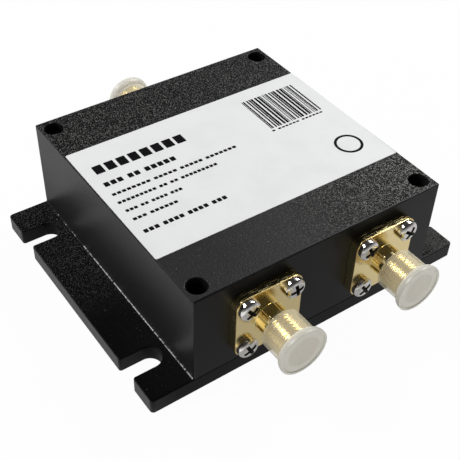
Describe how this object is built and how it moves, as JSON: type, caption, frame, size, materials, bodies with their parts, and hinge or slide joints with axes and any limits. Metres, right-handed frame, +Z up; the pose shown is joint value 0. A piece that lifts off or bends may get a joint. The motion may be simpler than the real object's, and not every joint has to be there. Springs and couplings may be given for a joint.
{
  "type": "rf power splitter",
  "caption": "Flat black powder-coated divider box on a slotted base plate, with flanged threaded coaxial ports under dust caps at front and back.",
  "frame": {"origin": "centre of the base plate's underside, which is the face that it rests on", "axes": "+Z up through the housing, -Y out of the two output connectors, +Y out of the input connector, +X to the right as the outputs face the viewer"},
  "size_m": [0.0658, 0.074, 0.0212],
  "materials": {
    "powder_coat": "fine textured black powder coat on milled aluminium",
    "label_stock": "satin printed polyester label",
    "gold_plate": "gold-plated brass",
    "nickel_plate": "nickel-plated steel",
    "cap_plastic": "translucent natural polyethylene",
    "fluoropolymer": "white fluoropolymer",
    "board_laminate": "microwave laminate",
    "tinned_copper": "etched copper foil",
    "chip_ceramic": "thick-film chip"
  },
  "bodies": {
    "root": {"base_plate": "powder_coat", "board_screw_1": "nickel_plate", "board_screw_2": "nickel_plate", "board_screw_3": "nickel_plate", "board_screw_4": "nickel_plate", "circuit_board": "board_laminate", "cover_screw_1": "nickel_plate", "cover_screw_2": "nickel_plate", "cover_screw_3": "nickel_plate", "cover_screw_4": "nickel_plate", "housing": "powder_coat", "input_cap": "cap_plastic", "input_connector": "gold_plate", "input_contact": "gold_plate", "input_dielectric": "fluoropolymer", "input_screw_1": "nickel_plate", "input_screw_2": "nickel_plate", "input_screw_3": "nickel_plate", "input_screw_4": "nickel_plate", "isolation_resistor_1": "chip_ceramic", "isolation_resistor_2": "chip_ceramic", "isolation_resistor_3": "chip_ceramic", "label": "label_stock", "output_left_cap": "cap_plastic", "output_left_connector": "gold_plate", "output_left_contact": "gold_plate", "output_left_dielectric": "fluoropolymer", "output_left_screw_1": "nickel_plate", "output_left_screw_2": "nickel_plate", "output_left_screw_3": "nickel_plate", "output_left_screw_4": "nickel_plate", "output_right_cap": "cap_plastic", "output_right_connector": "gold_plate", "output_right_contact": "gold_plate", "output_right_dielectric": "fluoropolymer", "output_right_screw_1": "nickel_plate", "output_right_screw_2": "nickel_plate", "output_right_screw_3": "nickel_plate", "output_right_screw_4": "nickel_plate", "splitter_track": "tinned_copper"}
  },
  "joints": []
}
